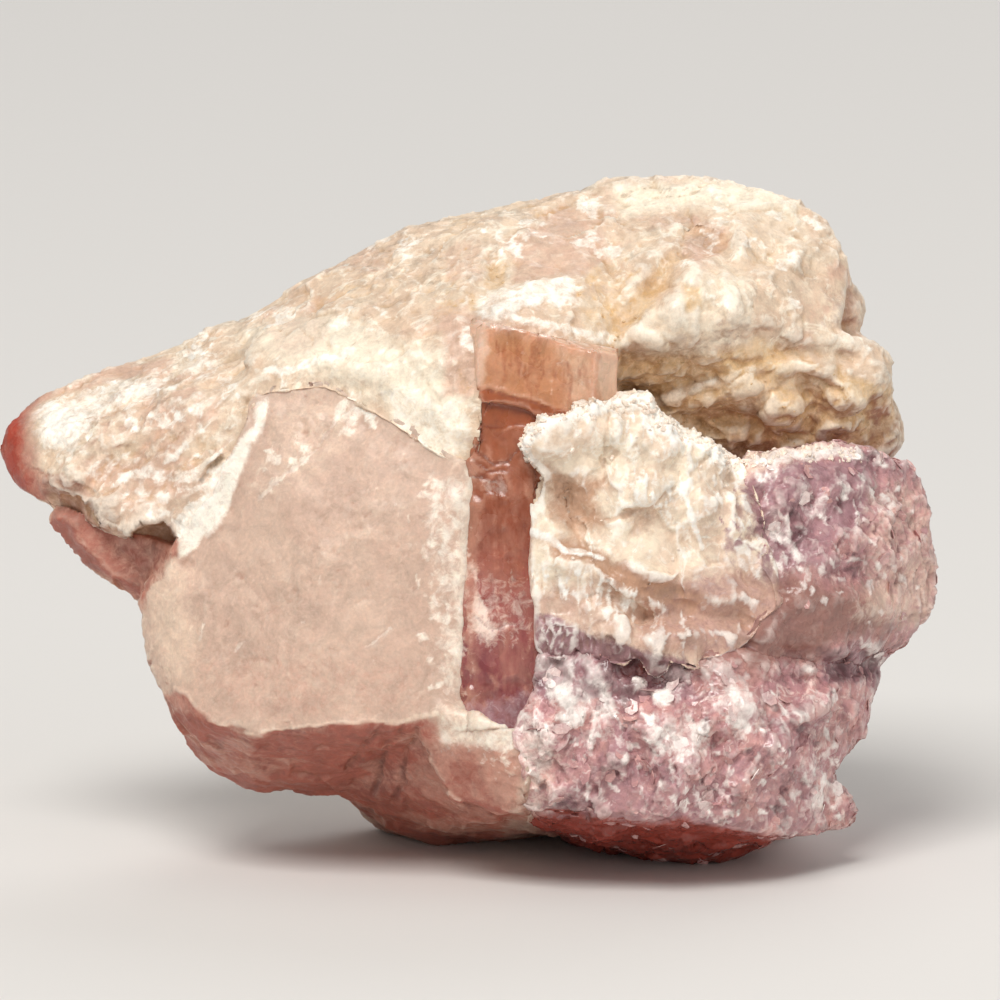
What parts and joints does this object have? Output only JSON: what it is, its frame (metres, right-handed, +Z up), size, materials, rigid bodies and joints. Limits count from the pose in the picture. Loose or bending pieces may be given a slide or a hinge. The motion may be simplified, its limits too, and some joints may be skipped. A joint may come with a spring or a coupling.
{
  "type": "tourmaline specimen",
  "caption": "Hand-size rock specimen: a pink prismatic tourmaline crystal set in quartz, cream feldspar, white albite and lilac mica, standing on its broken base.",
  "frame": {"origin": "bottom centre of the bounding box, on the plane the specimen stands on", "axes": "+Z up as the specimen stands, +X to the right and -Y out of the display face"},
  "size_m": [0.0934, 0.0492, 0.0668],
  "materials": {
    "pink_tourmaline": "glassy, translucent",
    "rosy_quartz": "satin",
    "cream_feldspar": "matt, granular",
    "white_albite": "satin, sugary",
    "lilac_lepidolite": "pearly, glittering"
  },
  "bodies": {
    "root": {"tourmaline_crystal": "pink_tourmaline", "quartz_body": "rosy_quartz", "feldspar_cap": "cream_feldspar", "albite_ledge": "white_albite", "lepidolite_mass": "lilac_lepidolite"}
  },
  "joints": []
}
